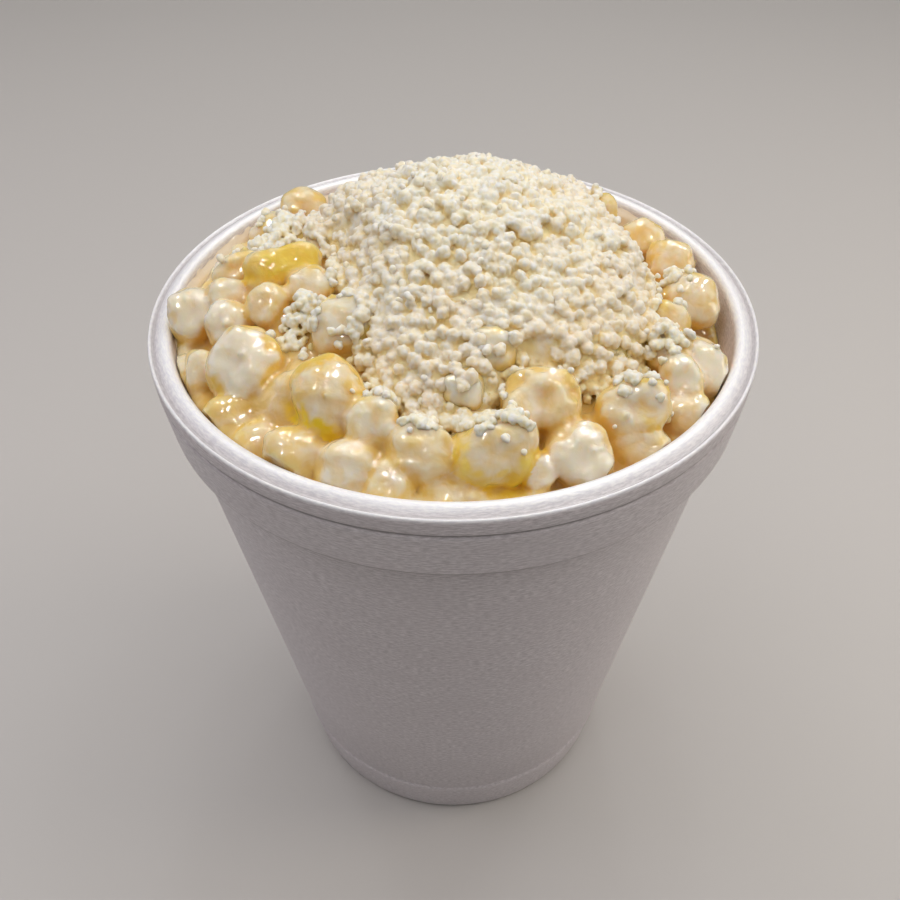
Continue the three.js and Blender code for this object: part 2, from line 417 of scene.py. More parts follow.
def make_cup():
    """The section spun round the axis. Masks: line (painted shade in the grooves, at the band's foot and on
    the wall under it) and lip (a painted highlight on the rim).
    """
    section = np.array(cup_section())
    rows = section[1:-1]
    points = [(0, 0, section[0][1] + LIP), (0, 0, section[-1][1] + LIP)]
    for bearing in np.linspace(0, 2 * math.pi, CUP_SEGMENTS, endpoint=False):
        points += [(*out_at(bearing, radius), height + LIP) for radius, height in rows]
    count = len(rows)
    at = lambda k, i: 2 + (k % CUP_SEGMENTS) * count + i
    faces = []
    for k in range(CUP_SEGMENTS):
        faces.append((0, at(k + 1, 0), at(k, 0)))
        faces.append((1, at(k, count - 1), at(k + 1, count - 1)))
        faces += [(at(k, i), at(k + 1, i), at(k + 1, i + 1), at(k, i + 1)) for i in range(count - 1)]
    piece = make_mesh("foam_cup", points, faces)
    wrap_cup(piece.data, section)
    points = points_of(piece.data)
    radius, height = np.hypot(points[:, 0], points[:, 1]), points[:, 2] - LIP
    # Painted shade for the line mask: the groove, the band's foot, a painted shadow on the wall just under
    # the band, and the gutter.
    groove = (np.abs(height - GROOVE) < 0.1) & (radius > 39)
    foot = (height > -10.25) & (height < -9.7) & (radius > 37.6)
    under = (height > -11.75) & (height < -10.3) & (radius > 37)
    gutter = (height > -0.6) & (np.abs(radius - GUTTER) < 0.2)
    write_mask(piece.data, "line", groove * 0.9 + foot * 1.0 + under * 0.55 + gutter * 0.4)
    # Painted highlight on the rim: brightest at its inner edge, fading outwards, with a bright line on the
    # outer ridge.
    inner = 1 - 0.7 * smoothstep(radius, 37.9, 39.2)
    ridge = (height > -0.6) & (radius > 39.6)
    write_mask(piece.data, "lip", smoothstep(height, -0.7, 0) * np.maximum(inner, ridge * 0.9))
    return piece


# ---- the kernels ----


def kernel_shape(detail, seed, plump=2.45, dimple=0.16, folds=0.4):
    """A sweetcorn kernel about 2 across: a rounded crown at +z with a dimple, and a narrower tip at -z."""
    points, faces = ball_template(detail)
    size = (np.abs(points) ** plump).sum(axis=1) ** (1 / plump)
    shape = points / size[:, None]
    shape[:, :2] *= (1 - 0.3 * smoothstep(-shape[:, 2], -0.1, 1))[:, None]
    across = np.hypot(shape[:, 0], shape[:, 1])
    crown = smoothstep(shape[:, 2], 0.1, 0.8)
    shape[:, 2] -= crown * dimple * np.exp(-((across / 0.45) ** 2))
    uneven = ripple(shape, 1.0, seed) * 0.07 + ripple(shape, 0.45, seed + 1) * 0.03
    creased = 1 - np.abs(ripple(shape, 0.42, seed + 2))
    uneven += folds * smoothstep(shape[:, 2], -0.2, 0.5) * (creased - 0.6) * 0.1
    shape *= (1 + uneven)[:, None]
    return shape, faces


def turned(spin, lean, heading):
    """Axes of a kernel: spun on its own axis, leant over, towards a heading seen from above. In degrees."""
    angles = map(math.radians, (spin, lean, heading))
    (cs, ss), (cl, sl), (ch, sh) = [(math.cos(angle), math.sin(angle)) for angle in angles]
    spin_about_z = np.array([[cs, -ss, 0], [ss, cs, 0], [0, 0, 1]])
    lean_about_x = np.array([[1, 0, 0], [0, cl, -sl], [0, sl, cl]])
    heading_about_z = np.array([[ch, -sh, 0], [sh, ch, 0], [0, 0, 1]])
    return heading_about_z @ lean_about_x @ spin_about_z


class Kernel:
    """One kernel in its place.

    half holds its half sizes: across, up, and deep along its own axis. cream says how thickly its crown is
    covered, and yellow how much its skin shows at the sides. bare is the bearing, strength and half width, in
    degrees, of a crescent with no cream at the crown's edge. form is what kernel_shape takes by name.
    """

    def __init__(self, at, half, spin, cream, yellow, seed, lean=47, heading=0, bare=None, **form):
        self.at = np.array(at, float)
        self.half = np.array(half, float)
        self.axes = turned(spin, lean, heading)
        self.cream = cream
        self.yellow = yellow
        self.bare = bare
        self.seed = seed
        self.form = form

    def skin(self, detail, grown):
        shape, faces = kernel_shape(detail, self.seed, **self.form)
        points = (shape * (self.half + grown)) @ self.axes.T + self.at
        points[:, 2] += LIP
        return points, faces

    def local(self, points):
        """Places in the kernel's own axes, where its skin is about 1 from the middle."""
        return ((points - self.at - (0, 0, LIP)) @ self.axes) / self.half


# Kernels that show: middle, half sizes, spin in degrees, cream, yellow, and anything out of the usual.
SHOWN = {
    "left_rim": ((-33.4, -4.4, 0.9), (3.3, 3.5, 3.2), 20, 0.9, 0.25),
    "left_blob_back": ((-28.8, -3.4, 3.2), (2.6, 2.4, 2.6), 0, 0.7, 0.2, {"folds": 1}),
    "left_blob_front": ((-28.3, -9.0, 2.6), (2.7, 3.0, 2.8), 10, 0.9, 0.1, {"folds": 1}),
    "left_inner": ((-23.2, -7.8, 4.7), (2.5, 3.0, 2.8), -15, 0.4, 0.7),
    "lying_yellow": ((-21.8, -1.2, 6.1), (4.9, 2.6, 2.8), 14, 0.0, 1, {"plump": 3.4, "dimple": 0}),
    "lying_end": ((-18.0, -5.6, 5.8), (2.9, 2.6, 2.8), 30, 0.4, 0.6),
    "far_left": ((-28.6, 3.2, 3.0), (3.2, 2.2, 2.8), 35, 0.2, 0.8),
    "big_left": (
        (-25.0, -16.6, 2.0), (4.3, 4.6, 3.5), -25, 0.85, 0.9,
        {"lean": 38, "heading": -15, "plump": 2.6, "dimple": 0.22, "folds": 0.5},
    ),
    "wall_left": ((-30.9, -14.6, -0.2), (2.0, 2.9, 2.4), 0, 0.6, 0.35),
    "big_middle": (
        (-14.0, -23.7, 2.8), (4.2, 4.9, 3.8), 18, 0.3, 0.9,
        {"lean": 50, "bare": (-138, 1, 62), "plump": 2.5, "dimple": 0.05},
    ),
    "beside_big": ((-9.0, -27.0, 2.2), (2.8, 3.0, 2.8), 0, 0.5, 0.4),
    "under_crumbs": ((-13.0, -13.4, 5.8), (4.0, 3.6, 3.2), 0, 0.5, 0.6),
    "sunk_left": ((-26.8, -21.8, -2.2), (3.6, 3.2, 3.2), 20, 0.0, 1.0),
    "sunk_middle": ((-22.2, -25.4, -2.4), (2.9, 2.6, 2.8), -20, 0.1, 0.8),
    "front_left": ((-18.0, -28.9, -1.0), (3.5, 3.3, 3.2), 0, 0.12, 0.6, {"dimple": 0.05}),
    "front_left_low": ((-11.8, -31.1, -0.6), (3.4, 2.9, 2.8), 0, 0.6, 0.3),
    "front_pale": ((-3.6, -30.4, 0.7), (3.6, 3.4, 3.2), -10, 0.3, 0.5, {"folds": 0.5}),
    "front_rim_left": ((-7.0, -33.0, -1.2), (2.4, 2.4, 2.4), 0, 0.4, 0.45),
    "front_yellow": (
        (4.6, -30.1, 0.4), (4.9, 4.1, 3.8), 8, 0.35, 1, {"bare": (-110, 0.7, 115), "dimple": 0.1},
    ),
    "front_rim": ((0.2, -33.0, -2.6), (3.8, 2.5, 2.4), 0, 0.2, 0.5),
    "front_white": ((14.1, -29.4, -0.9), (3.6, 3.9, 3.4), 15, 1.0, 0.05, {"folds": 0.9}),
    "front_small": ((9.4, -31.6, -1.0), (1.9, 2.2, 2.0), 0, 0.7, 0.2),
    "wrinkled": ((9.9, -24.0, 2.7), (4.3, 4.1, 3.8), -15, 0.35, 0.5, {"dimple": 0.22, "folds": 1.2}),
    "cream_in_cheese": ((4.2, -18.6, 6.4), (3.0, 2.6, 2.6), 0, 0.6, 0.2, {"folds": 0.8}),
    "pale_in_cheese": ((1.1, -23.6, 4.3), (2.4, 2.4, 2.4), 0, 0.8, 0.2),
    "right_yellow": ((20.8, -23.0, 0.7), (4.6, 3.6, 3.5), 28, 0.35, 0.85, {"dimple": 0.3, "folds": 0.7}),
    "right_pink": ((27.3, -16.8, 0.2), (2.6, 2.9, 2.6), 0, 0.7, 0.15),
    "right_crumbed": ((26.5, -12.8, 1.3), (3.2, 2.8, 2.6), 0, 0.3, 0.6),
    "right_wall": ((30.4, -13.4, -1.4), (3.7, 4.6, 3.8), 0, 0.7, 0.2, {"dimple": 0.05}),
    "right_pale": ((31.7, 1.2, -0.8), (4.0, 4.2, 3.8), 0, 0.35, 0.5, {"dimple": 0.08}),
    "right_inner": ((27.6, -6.2, 1.4), (2.6, 2.6, 2.6), 0, 0.2, 0.7),
    "far_right": ((30.8, 11.4, -1.2), (3.3, 3.4, 3.2), 0, 0.35, 0.5, {"folds": 0.6}),
    "far_right_back": ((27.4, 17.8, -1.0), (3.4, 2.9, 3.0), 30, 0.2, 0.6),
    "orange_in_cheese": ((21.3, 19.2, 2.3), (2.8, 2.6, 2.6), 0, 0.1, 0.7),
    "low_right": ((21.5, -26.1, -2.7), (3.9, 2.9, 3.2), -10, 0.4, 0.35),
    "low_right_wall": ((27.9, -20.1, -2.9), (3.2, 3.2, 3.1), 0, 0.5, 0.25),
    "back_left": ((-22.8, 25.2, -0.2), (3.4, 2.8, 3.0), 0, 0.3, 0.5),
}

# Rings of kernels underneath and round the back: radius, how many, and how far below the corn's level.
HIDDEN_RINGS = [(31.2, 22, 1.8), (24.5, 17, 2.6), (17.5, 11, 2.6), (30.6, 20, 6.4), (23.8, 15, 7.0)]

# Pools of cream between the kernels, and one pit: x, y, reach and how much higher than the rest of the bed.
POOLS = [
    (-19.5, -21.0, 4.2, 3.2), (-28.5, 9.5, 5.0, 2.4), (-25.0, 17.5, 6.0, 2.4), (-8.0, -30.5, 3.0, 1.5),
    (-20.5, -12.0, 3.5, 2.2), (15.5, -25.5, 3.0, 1.2), (33.5, -4.6, 3.0, -5.0), (-33.5, -13.0, 3.0, 1.2),
    (-17.8, -9.6, 2.5, 3.0),
]
PIT = np.array((33.5, -4.6))
UNDER_CHEESE = -2.0  # level of the bed where the cheese hides it
CORN_CUT = -8.5  # the corn that shows ends here, and the plain core goes on down
CHEESE_CUT = -3.0  # the cheese ends here, inside the corn


def shown_kernels():
    """The kernels of the table, each with its own seed."""
    made = {}
    for seed, (name, (at, half, spin, cream, yellow, *own)) in enumerate(SHOWN.items(), 1):
        made[name] = Kernel(at, half, spin, cream, yellow, seed, **(own[0] if own else {}))
    return made


def hidden_kernels(shown):
    """Kernels of the layers underneath and round the back, at random, clear of those that show."""
    rng = np.random.default_rng(7)
    middles = np.array([kernel.at for kernel in shown])
    found = []
    for radius, count, sunk in HIDDEN_RINGS:
        for k in range(count):
            bearing = 2 * math.pi * (k + rng.uniform(-0.3, 0.3)) / count
            x, y = out_at(bearing, radius + rng.uniform(-1.2, 1.0))
            height = float(corn_level(x, y)) - sunk + rng.uniform(-0.8, 0.8)
            half = rng.uniform(3.0, 4.1), rng.uniform(2.6, 3.3), rng.uniform(3.2, 4.4)
            spin, lean, heading = rng.uniform(0, 360), rng.uniform(0, 90), rng.uniform(0, 360)
            cream, yellow = rng.uniform(0.1, 0.6), rng.uniform(0.2, 0.7)
            near = np.linalg.norm((middles - (x, y, height)) / (1, 1, 1.3), axis=1).min()
            covered = inside_cheese(x, y) > 5
            if near > 4.4 and np.hypot(*(PIT - (x, y))) > 4.6 and not covered:
                seed = 100 + len(found)
                found.append(Kernel((x, y, height), half, spin, cream, yellow, seed, lean, heading))
    return found


def bed_of_cream():
    """The cream that the kernels lie in: an uneven slab a little below their tops."""
    rings, bottom = 30, -16

    def column(bearing):
        places = []
        for i in range(1, rings + 1):
            radius = (MOUTH - 0.2) * i / rings
            x, y = out_at(bearing, radius)
            height = float(corn_level(x, y)) - 2.0
            height += 0.7 * math.sin(0.7 * x + 0.5 * y) * math.sin(0.6 * y - 0.4 * x + 1)
            height += 1.4 * float(smoothstep(radius, MOUTH - 3.2, MOUTH - 0.7))
            for pool_x, pool_y, reach, rise in POOLS:
                height += rise * math.exp(-((x - pool_x) ** 2 + (y - pool_y) ** 2) / reach**2)
            shown = float(smoothstep(radius - float(cheese_reach(bearing)), -7, -4))
            places.append((x, y, UNDER_CHEESE + (height - UNDER_CHEESE) * shown))
        return places + [(*out_at(bearing, MOUTH - 3), bottom)]

    return ring_shape(120, UNDER_CHEESE, column, bottom)


def blobs_of_cream(kernels):
    """Small lumps of cream that stick to the kernels' crowns."""
    rng = np.random.default_rng(9)
    ball, faces = ball_template(2)
    found = []
    for kernel in kernels:
        for _ in range(rng.poisson(2 + 5 * kernel.cream)):
            facing = rng.normal(size=3) * (1, 1, 0.6) + (0, 0, 0.7)
            facing /= np.linalg.norm(facing)
            middle = kernel.axes @ (facing * kernel.half * 1.02) + kernel.at + (0, 0, LIP)
            if (middle - kernel.at)[2] < LIP or np.hypot(*middle[:2]) > MOUTH - 1:
                continue
            found.append((ball * rng.uniform(0.3, 0.55) * rng.uniform(0.7, 1.3, 3) + middle, faces))
    return found


def make_creamed_corn(kernels):
    """Kernels and cream run together, uneven where they show, and kept inside the cup."""
    parts = [bed_of_cream()]
    parts += [kernel.skin(detail=4, grown=0.1) for kernel in kernels]
    parts += blobs_of_cream(kernels)
    piece = melted("creamed_corn", parts, grain=0.345)
    mesh = piece.data
    cut_flat(mesh, CORN_CUT)
    fill_creases(mesh, rounds=8)
    points = points_of(mesh)
    radius = np.hypot(points[:, 0], points[:, 1])
    shown = smoothstep(-inside_cheese(points[:, 0], points[:, 1]), -6.5, -5.5)
    wet = ripple(points, 2.4, 52) * 0.09 + ripple(points, 1.1, 50) * 0.05
    wrinkles = np.maximum(0, 1 - 2.2 * np.abs(ripple(points, 0.9, 53))) ** 1.5
    wet += 0.08 * wrinkles * smoothstep(ripple(points, 3.0, 54), -0.1, 0.5)
    points += normals_of(mesh) * (wet * shown)[:, None]
    limit = inner_radius(points[:, 2] - LIP) - 0.1
    points[:, :2] *= np.minimum(1, limit / np.maximum(radius, 1e-6))[:, None]
    points[:, 2] = np.maximum(points[:, 2], LIP + CORN_CUT)
    move_points(mesh, points)
    merge_flats(mesh)
    return thinned(piece)


def peeled_skin(facing, patchy, fine):
    """How bare a kernel with no cream is: all over its crown, less at its rim."""
    skin = smoothstep(facing[:, 2] + 0.15 * patchy, 0.1, 0.45)
    rim = smoothstep(np.abs(facing[:, 1]) + 0.1 * fine, 0.62, 0.8)
    return skin * (1 - 0.7 * rim) * 0.75


def bare_crescent(bare, facing, patchy, fine):
    """How bare a kernel is along a crescent at the edge of its crown."""
    side, strength, spread = math.radians(bare[0]), bare[1], math.radians(bare[2])
    off = np.abs(turn_between(side, np.arctan2(facing[:, 1], facing[:, 0]))) + 0.15 * fine
    along = 1 - smoothstep(off, spread - 0.35, spread + 0.1)
    edge = 0.72 - 0.2 * along
    across = np.hypot(facing[:, 0], facing[:, 1]) + 0.05 * fine
    worn = 0.5 + 0.5 * smoothstep(patchy + fine, -0.7, 0.3)
    return smoothstep(across, edge - 0.07, edge + 0.07) * along * strength * worn


def shade_corn(mesh, kernels, peeled):
    """Masks: cream (thick and white), corn (the skin shows through) and bright (bare skin)."""
    points = points_of(mesh)
    nearest = np.full(len(points), 9.0)
    corn = np.full(len(points), 0.15)
    cream = np.full(len(points), 0.15)
    bright = np.zeros(len(points))
    all_patchy = ripple(points, 2.2, 60)
    all_fine = ripple(points, 0.9, 61)
    for kernel in kernels:
        off = np.linalg.norm(points - kernel.at - (0, 0, LIP), axis=1)
        close = np.flatnonzero(off < kernel.half.max() * 1.7)
        place = kernel.local(points[close])
        depth = np.linalg.norm(place, axis=1)
        closer = depth < nearest[close]
        near, place, depth = close[closer], place[closer], depth[closer]
        nearest[near] = depth
        patchy, fine = all_patchy[near], all_fine[near]
        on_it = 1 - smoothstep(depth, 1.12, 1.45)
        facing = place / np.maximum(depth, 1e-6)[:, None]
        crown = smoothstep(facing[:, 2] + 0.1 * facing[:, 1] + 0.14 * patchy + 0.1 * fine, 0.45, 0.75)
        cream[near] = 0.15 + (kernel.cream * crown - 0.15) * on_it
        corn[near] = 0.15 + (kernel.yellow * (1 - 0.75 * crown) - 0.15) * on_it
        bright[near] = 0
        if kernel is peeled:
            bright[near] = on_it * peeled_skin(facing, patchy, fine)
        elif kernel.bare is not None:
            bright[near] = on_it * bare_crescent(kernel.bare, facing, patchy, fine)
    write_mask(mesh, "corn", corn)
    write_mask(mesh, "cream", cream)
    write_mask(mesh, "bright", bright)


def make_core():
    """Plain corn that fills the cup below what shows."""
    foot = -LIP
    rows = [(-8, 2.5), (-10, 0.3), (-35, 0.3), (-60, 0.3), (foot + 5, 0.3), (foot + 3.1, 2.2)]
    column = lambda bearing: [(*out_at(bearing, inner_radius(height) - gap), height) for height, gap in rows]
    piece = make_mesh("corn_core", *ring_shape(48, -6, column, foot + 3.1))
    write_mask(piece.data, "corn", 0.5)
    # Painted shade all over: the core shows only deep in the heap.
    write_mask(piece.data, "hollow", 1)
    return piece


def make_wall_cream():
    """The film of cream that the corn leaves on the far wall: a thin sheet with its edge sunk in the foam."""
    first, last = math.radians(14), math.radians(200)
    columns, rows = 340, 34
    bearings, heights = np.linspace(first, last, columns), np.linspace(-0.5, -10.0, rows)
    across, down = np.meshgrid(bearings, heights, indexing="ij")
    spots = np.stack([MOUTH * across.ravel(), down.ravel() * 1.6, np.zeros(across.size)], axis=1)
    uneven = lambda size, seed: ripple(spots, size, seed).reshape(across.shape)
    patchy = uneven(5.0, 80) + 0.5 * uneven(1.6, 81)
    ends = smoothstep(across, first, first + 0.3) * smoothstep(last - across, 0, 0.2)
    edge = -0.6 - 0.15 * patchy - 6 * (1 - ends) - 1.5 * np.exp(-((across - math.radians(84)) / 0.3) ** 2)
    film = np.maximum(0.6 * smoothstep(edge - down, -0.1, 1.2) - 0.2 + 0.06 * uneven(1.2, 82), -0.2)
    points = []
    for inward in (film, np.full(film.shape, -0.45)):
        radius = inner_radius(down) - inward
        sheet = np.stack([radius * np.cos(across), radius * np.sin(across), down + LIP], axis=-1)
        points.append(sheet.reshape(-1, 3))
    count = columns * rows
    at = lambda k, i: k * rows + i
    faces = []
    for k in range(columns - 1):
        for i in range(rows - 1):
            corners = at(k, i), at(k, i + 1), at(k + 1, i + 1), at(k + 1, i)
            faces.append(corners)
            faces.append(tuple(count + corners[turn] for turn in (0, 3, 2, 1)))
    rim = [at(k, 0) for k in range(columns)]
    rim += [at(columns - 1, i) for i in range(1, rows)]
    rim += [at(k, rows - 1) for k in range(columns - 2, -1, -1)]
    rim += [at(0, i) for i in range(rows - 2, 0, -1)]
    for here, there in zip(rim, rim[1:] + rim[:1]):
        faces.append((here, there, count + there, count + here))
    piece = make_mesh("cream_on_wall", np.vstack(points), faces)
    write_mask(piece.data, "corn", 0.1)
    write_mask(piece.data, "cream", smoothstep(points_of(piece.data)[:, 2] - LIP, -5.5, -1.5))
    return piece


# ---- the cheese ----

# Crumbs beyond the mound: x, y, reach and how thickly they lie.
STRAY_CRUMBS = [
    (-18.5, -12.0, 3.6, 1.0), (-26.0, 9.5, 5.0, 0.9), (-23.5, 17.0, 5.0, 0.9), (-8.0, -23.5, 3.0, 0.9),
    (-4.0, -28.5, 2.4, 0.6), (6.0, -29.0, 3.4, 0.8), (3.0, -26.0, 3.0, 1.0), (12.5, -20.5, 3.0, 0.6),
    (20.0, -21.0, 3.2, 0.6), (25.5, -12.0, 4.0, 0.8), (29.5, 3.5, 3.2, 0.8), (17.5, 25.5, 4.0, 0.9),
    (-21.0, -8.0, 1.6, 0.5), (-15.0, -16.5, 3.0, 0.6), (24.0, -21.5, 3.0, 0.5), (29.0, -4.0, 2.6, 0.5),
]

# Kernels that the cheese leaves bare: x, y and reach.
LEFT_BARE = [(-13.6, -13.4, 2.3), (4.2, -18.8, 1.3), (9.9, -24.4, 3.8), (-14.0, -23.7, 4.2)]


def cheese_share(x, y):
    """How thickly the crumbs lie, from 0 to 1."""
    share = smoothstep(inside_cheese(x, y), -0.8, 1.0)
    for spot_x, spot_y, reach, thick in STRAY_CRUMBS:
        share = np.maximum(share, thick * np.exp(-((np.hypot(x - spot_x, y - spot_y) / reach) ** 2)))
    for spot_x, spot_y, reach in LEFT_BARE:
        share = share * (1 - np.exp(-((np.hypot(x - spot_x, y - spot_y) / reach) ** 6)))
    return share


def cheese_height(x, y):
    """Smooth top of the cheese, thinned to its edge."""
    level = corn_level(x, y) + 0.6
    level = level + 4.5 * np.exp(-((x - 17.5) ** 2 + (y - 23.0) ** 2) / 4.0**2)
    full = smoothstep(inside_cheese(x, y), 0, 5 + 3.5 * smoothstep(-x, 2, 12))
    return np.maximum(level, level + (mound_top(x, y) - level) * full)


def plain_mound(sunk):
    """A closed mound that lies this far under the cheese's top."""
    rings, bottom = 24, -6

    def column(bearing):
        reach = float(cheese_reach(bearing)) - 1.5
        places = []
        for i in range(1, rings + 1):
            x, y = out_at(bearing, reach * i / rings)
            places.append((x, y, float(cheese_height(x, y)) - sunk - 1.2 * (1 - float(cheese_share(x, y)))))
        return places + [(x, y, bottom)]

    return ring_shape(96, float(cheese_height(0, 0)) - sunk, column, bottom)


def spread_spots(rng, gap):
    """Spots at random all over the cup's mouth, with at least this gap between them."""
    half = 36
    many = rng.uniform(-half, half, (int(12 * (2 * half / gap) ** 2 / 4), 3)) * (1, 1, 0)
    return spaced_out(many, gap, rng)


def surface_below(piece):
    """A function that gives a piece's height under a spot."""
    mesh = piece.data
    tree = BVHTree.FromPolygons([v.co for v in mesh.vertices], [p.vertices for p in mesh.polygons])
    down = Vector((0, 0, -1))

    def height(x, y):
        hit = tree.ray_cast(Vector((x * MM, y * MM, 0.2)), down)[0]
        return -6.0 if hit is None else hit.z / MM - LIP

    return height


def raise_grains(mesh, gap, swell, seed):
    """Swells the skin into rounded grains that meet in creases. Mask: between (deep in a crease), for the
    cheese's painted shade.
    """
    rng = np.random.default_rng(seed)
    points, normals = points_of(mesh), normals_of(mesh)
    middles = spaced_out(points, gap, rng)
    tree = KDTree(len(middles))
    for index, middle in enumerate(middles):
        tree.insert(middle, index)
    tree.balance()
    lift = rng.uniform(-0.35, 0.45, len(middles))
    inset = np.empty(len(points))
    own = np.empty(len(points), dtype=int)
    for index, point in enumerate(points):
        (_, first, near), (_, _, far) = tree.find_n(point, 2)
        inset[index] = far - near
        own[index] = first
    inset = np.clip(inset / (0.8 * gap), 0, 1)
    round_top = np.sqrt(1 - (1 - inset) ** 2)
    move_points(mesh, points + normals * (swell * round_top * (1 + lift[own]) - 0.1)[:, None])
    write_mask(mesh, "between", 1 - smoothstep(inset, 0.05, 0.6))


def make_cheese(corn):
    """Curds pressed together and piled up, smaller ones on the kernels at the edge, all in fine grains."""
    rng = np.random.default_rng(21)
    ball, ball_faces = ball_template(3)
    small_ball, small_faces = ball_template(2)
    corn_height = surface_below(corn)
    parts = [plain_mound(sunk=1.5)]
    spots = spread_spots(rng, gap=1.02)
    clumps = 0.4 * ripple(spots, 2.2, 70, waves=30)
    for (x, y, _), clump in zip(spots, clumps):
        if inside_cheese(x, y) < 0.8 or rng.random() > float(cheese_share(x, y)) * 1.2 - 0.1:
            continue
        size = rng.uniform(0.52, 0.9)
        height = float(cheese_height(x, y)) - 0.5 - size + clump + rng.uniform(-0.3, 0.4)
        height = max(height, corn_height(x, y) + 0.3 - size * 0.4)
        points = ball * size * rng.uniform(0.8, 1.2, 3) + (x, y, height + LIP)
        parts.append((points, ball_faces))
    for x, y, _ in spread_spots(rng, gap=0.5):
        share = float(cheese_share(x, y))
        if inside_cheese(x, y) > 1.6 or rng.random() > share * 1.5 - 0.3:
            continue
        height = corn_height(x, y) + 0.1 + rng.uniform(0, 1.3) * share**2
        points = small_ball * rng.uniform(0.32, 0.6) * rng.uniform(0.8, 1.2, 3) + (x, y, height + LIP)
        parts.append((points, small_faces))
    piece = melted("crumbled_cheese", parts, grain=0.27)
    cut_flat(piece.data, CHEESE_CUT)
    piece = thinned(piece)
    raise_grains(piece.data, gap=0.6, swell=0.3, seed=22)
    piece.data.shade_smooth()
    return piece


def crumb_shape(lobes, size, seed):
    """One small crumb: a few lobes run together, on a few dozen faces."""
    rng = np.random.default_rng(seed)
    directions, faces = ball_template(2)
    middles = rng.normal(size=(lobes, 3))
    middles *= 0.5 / np.linalg.norm(middles, axis=1, keepdims=True)
    if lobes == 1:
        middles *= 0.2
    radii = rng.uniform(0.62, 0.8, lobes)
    along = directions @ middles.T
    reach = along + np.sqrt(radii**2 - (middles**2).sum(axis=1) + along**2)
    points = directions * reach.max(axis=1)[:, None]
    points *= (1 + 0.07 * ripple(points, 0.6, seed))[:, None]
    return points * size, faces


# ---- node trees ----


def add_node(tree, kind, inputs=(), **settings):
    """A new node with these settings. Each input, by name or number, gets a plain value or a link."""
    node = tree.nodes.new(kind)
    for name, value in settings.items():
        setattr(node, name, value)
    for name, value in dict(inputs).items():
        if isinstance(value, bpy.types.NodeSocket):
            tree.links.new(value, node.inputs[name])
        else:
            node.inputs[name].default_value = value
    return node


def new_tree(name, kind, inputs, outputs):
    """A group with these sockets, each with the end of its type's name. Gives what goes in as well."""
    tree = bpy.data.node_groups.new(name, kind)
    for way, sockets in (("INPUT", inputs), ("OUTPUT", outputs)):
        for socket, ending in sockets.items():
            tree.interface.new_socket(socket, in_out=way, socket_type="NodeSocket" + ending)
    return tree, tree.nodes.new("NodeGroupInput").outputs


def scatter_tree():
    """Lays crumbs of one kind on a skin, thickest where the skin's number called crumbs is high."""
    sizes = dict.fromkeys(("Spacing", "Crumbs per square metre", "Smallest", "Largest", "Lift"), "Float")
    choices = dict.fromkeys(("Seed", "Kinds", "Kind"), "Int")
    inputs = {"Skin": "Geometry", "Crumb": "Object", "Finish": "Material", **sizes, **choices}
    tree, given = new_tree("laid_crumbs", "GeometryNodeTree", inputs, {"Crumbs": "Geometry"})
    put = lambda *words, **settings: add_node(tree, *words, **settings)
    seed = given["Seed"]
    thickness = put("GeometryNodeInputNamedAttribute", {"Name": "crumbs"}, data_type="FLOAT")
    spots = put(
        "GeometryNodeDistributePointsOnFaces",
        {
            "Mesh": given["Skin"],
            "Distance Min": given["Spacing"],
            "Density Max": given["Crumbs per square metre"],
            "Density Factor": thickness.outputs["Attribute"],
            "Seed": seed,
        },
        distribute_method="POISSON",
    )
    up = {0: spots.outputs["Normal"], "Scale": given["Lift"]}
    rise = put("ShaderNodeVectorMath", up, operation="SCALE")
    places = {"Geometry": spots.outputs["Points"], "Offset": rise.outputs["Vector"]}
    lifted = put("GeometryNodeSetPosition", places)
    pick = lambda kind, ends: put("FunctionNodeRandomValue", {**ends, "Seed": seed}, data_type=kind)
    any_way = pick("FLOAT_VECTOR", {"Max": (2 * math.pi,) * 3})
    size = pick("FLOAT", {2: given["Smallest"], 3: given["Largest"]})
    draw = pick("INT", {"Min": 1, 5: given["Kinds"]})
    drawn = {2: draw.outputs[2], 3: given["Kind"]}
    chosen = put("FunctionNodeCompare", drawn, data_type="INT", operation="EQUAL")
    crumb = put("GeometryNodeObjectInfo", {"As Instance": True, "Object": given["Crumb"]})
    laid = put(
        "GeometryNodeInstanceOnPoints",
        {
            "Points": lifted.outputs["Geometry"],
            "Selection": chosen.outputs["Result"],
            "Instance": crumb.outputs["Geometry"],
            "Rotation": any_way.outputs["Value"],
            "Scale": size.outputs[1],
        },
    )
    real = put("GeometryNodeRealizeInstances", {"Geometry": laid.outputs["Instances"]})
    dressed = {"Geometry": real.outputs["Geometry"], "Material": given["Finish"]}
    put("NodeGroupOutput", {"Crumbs": put("GeometryNodeSetMaterial", dressed).outputs["Geometry"]})
    return tree


def grain_group():
    """Fine grain for a bump, and a broader mottle for colours."""
    inputs = {"Place": "Vector", "Grains per metre": "Float", "Mottles per metre": "Float"}
    outputs = {"Height": "Float", "Mottle": "Float"}
    tree, given = new_tree("grain_and_mottle", "ShaderNodeTree", inputs, outputs)
    at = given["Place"]
    fine = {"Vector": at, "Scale": given["Grains per metre"], "Detail": 3, "Roughness": 0.6}
    broad = {"Vector": at, "Scale": given["Mottles per metre"], "Detail": 2}
    grain, mottle = add_node(tree, "ShaderNodeTexNoise", fine), add_node(tree, "ShaderNodeTexNoise", broad)
    add_node(tree, "NodeGroupOutput", {"Height": grain.outputs["Fac"], "Mottle": mottle.outputs["Fac"]})
    return tree


# ---- loose crumbs ----


